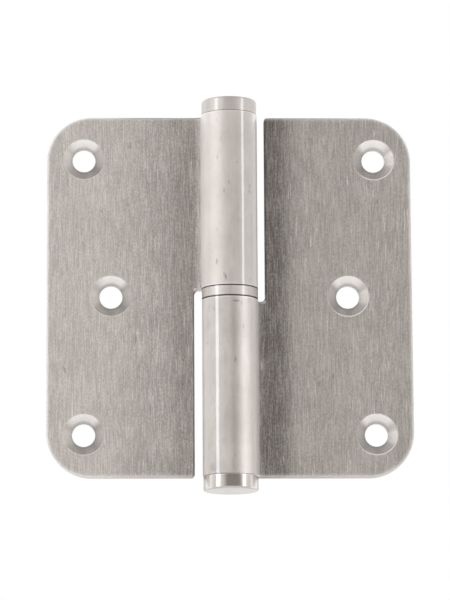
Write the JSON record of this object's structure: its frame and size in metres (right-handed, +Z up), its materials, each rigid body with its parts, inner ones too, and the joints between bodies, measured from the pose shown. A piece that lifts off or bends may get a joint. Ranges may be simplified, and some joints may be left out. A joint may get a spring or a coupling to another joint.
{
  "type": "lift-off butt hinge",
  "caption": "Stainless lift-off hinge opened flat: two round-cornered leaves with countersunk holes, knuckles joined end to end by a ring on a fixed pin, and flat end caps.",
  "frame": {"origin": "on the pin axis, halfway up the hinge, which is also the centre of its box", "axes": "+Z up the pin, +X towards the frame leaf, -Y the side that shows the countersinks, +Y the leaves' backs"},
  "size_m": [0.089, 0.0136, 0.0962],
  "materials": {
    "leaf_steel": "stainless steel, brushed along the pin, with the knuckle turned and polished a little finer",
    "ring_steel": "turned stainless steel",
    "cap_steel": "turned stainless steel with a flat brushed end",
    "pin_steel": "ground bright steel",
    "bush_polymer": "dark bearing plastic"
  },
  "bodies": {
    "frame_side": {"frame_leaf": "leaf_steel", "hinge_pin": "pin_steel", "bottom_cap": "cap_steel"},
    "ring": {"bearing_ring": "ring_steel"},
    "door_side": {"door_leaf": "leaf_steel", "bearing_bush": "bush_polymer", "top_cap": "cap_steel"}
  },
  "joints": [
    {"name": "swing", "type": "hinge", "parent": "frame_side", "child": "ring", "pos_m": [0, 0, 0], "axis": [0, 0, 1], "range_deg": [-123, 182]},
    {"name": "lift", "type": "slide", "parent": "ring", "child": "door_side", "axis": [0, 0, 1], "range_m": [0, 0.04]}
  ]
}
